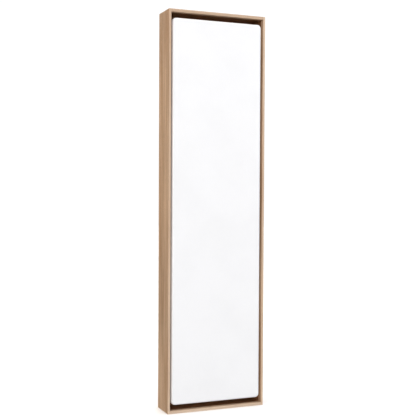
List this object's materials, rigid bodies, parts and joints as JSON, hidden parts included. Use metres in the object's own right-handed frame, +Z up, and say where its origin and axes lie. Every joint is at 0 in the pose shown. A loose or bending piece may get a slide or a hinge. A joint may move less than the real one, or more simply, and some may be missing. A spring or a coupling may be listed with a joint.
{
  "type": "stretched canvas",
  "caption": "Tall narrow gallery-wrapped white canvas floating inside a deep L-section natural oak floater frame, with corner keys and D-ring hangers at the back.",
  "frame": {"origin": "middle of the frame's bottom face, at mount base", "axes": "+Z up the canvas's long side, -Y out of the painted face towards the viewer, +X to the viewer's right"},
  "size_m": [0.3314, 0.1022, 1.2722],
  "materials": {
    "oak": "natural light oak, fine open grain, matte clear finish; the channel's floor is stained dark",
    "pine": "raw planed pine",
    "birch_ply": "raw birch plywood",
    "primed_cotton": "white acrylic primer on medium cotton duck, matte",
    "zinc_steel": "bright zinc plate",
    "rubber": "matte dark grey"
  },
  "bodies": {
    "framed_canvas": {"canvas_screw_bottom": "zinc_steel", "canvas_screw_left_1": "zinc_steel", "canvas_screw_left_2": "zinc_steel", "canvas_screw_left_3": "zinc_steel", "canvas_screw_right_1": "zinc_steel", "canvas_screw_right_2": "zinc_steel", "canvas_screw_right_3": "zinc_steel", "canvas_screw_top": "zinc_steel", "canvas_sheet": "primed_cotton", "cross_brace": "pine", "frame_rail_bottom": "oak", "frame_rail_top": "oak", "frame_stile_left": "oak", "frame_stile_right": "oak", "hanger_screw_left": "zinc_steel", "hanger_screw_right": "zinc_steel", "hanger_strap_left": "zinc_steel", "hanger_strap_right": "zinc_steel", "joint_fastener_bottom_left_1": "zinc_steel", "joint_fastener_bottom_left_2": "zinc_steel", "joint_fastener_bottom_right_1": "zinc_steel", "joint_fastener_bottom_right_2": "zinc_steel", "joint_fastener_top_left_1": "zinc_steel", "joint_fastener_top_left_2": "zinc_steel", "joint_fastener_top_right_1": "zinc_steel", "joint_fastener_top_right_2": "zinc_steel", "stretcher_bar_bottom": "pine", "stretcher_bar_left": "pine", "stretcher_bar_right": "pine", "stretcher_bar_top": "pine", "wall_bumper_left": "rubber", "wall_bumper_right": "rubber"},
    "key_bottom_bar_left": {"corner_key_bottom_bar_left": "birch_ply"},
    "key_bottom_bar_right": {"corner_key_bottom_bar_right": "birch_ply"},
    "key_left_bar_bottom": {"corner_key_left_bar_bottom": "birch_ply"},
    "key_left_bar_top": {"corner_key_left_bar_top": "birch_ply"},
    "key_right_bar_bottom": {"corner_key_right_bar_bottom": "birch_ply"},
    "key_right_bar_top": {"corner_key_right_bar_top": "birch_ply"},
    "key_top_bar_left": {"corner_key_top_bar_left": "birch_ply"},
    "key_top_bar_right": {"corner_key_top_bar_right": "birch_ply"},
    "ring_left": {"hanger_ring_left": "zinc_steel"},
    "ring_right": {"hanger_ring_right": "zinc_steel"}
  },
  "joints": [
    {"name": "key_bottom_bar_left_slide", "type": "slide", "parent": "framed_canvas", "child": "key_bottom_bar_left", "axis": [0, 0, 1], "range_m": [0, 0.012]},
    {"name": "key_bottom_bar_right_slide", "type": "slide", "parent": "framed_canvas", "child": "key_bottom_bar_right", "axis": [0, 0, 1], "range_m": [0, 0.012]},
    {"name": "key_left_bar_bottom_slide", "type": "slide", "parent": "framed_canvas", "child": "key_left_bar_bottom", "axis": [1, 0, 0], "range_m": [0, 0.012]},
    {"name": "key_left_bar_top_slide", "type": "slide", "parent": "framed_canvas", "child": "key_left_bar_top", "axis": [1, 0, 0], "range_m": [0, 0.012]},
    {"name": "key_right_bar_bottom_slide", "type": "slide", "parent": "framed_canvas", "child": "key_right_bar_bottom", "axis": [-1, 0, 0], "range_m": [0, 0.012]},
    {"name": "key_right_bar_top_slide", "type": "slide", "parent": "framed_canvas", "child": "key_right_bar_top", "axis": [-1, 0, 0], "range_m": [0, 0.012]},
    {"name": "key_top_bar_left_slide", "type": "slide", "parent": "framed_canvas", "child": "key_top_bar_left", "axis": [0, 0, -1], "range_m": [0, 0.012]},
    {"name": "key_top_bar_right_slide", "type": "slide", "parent": "framed_canvas", "child": "key_top_bar_right", "axis": [0, 0, -1], "range_m": [0, 0.012]},
    {"name": "ring_left_hinge", "type": "hinge", "parent": "framed_canvas", "child": "ring_left", "pos_m": [-0.14975, 0.0511, 0.9722], "axis": [1, 0, 0], "range_deg": [0, 180]},
    {"name": "ring_right_hinge", "type": "hinge", "parent": "framed_canvas", "child": "ring_right", "pos_m": [0.14975, 0.0511, 0.9722], "axis": [1, 0, 0], "range_deg": [0, 180]}
  ]
}
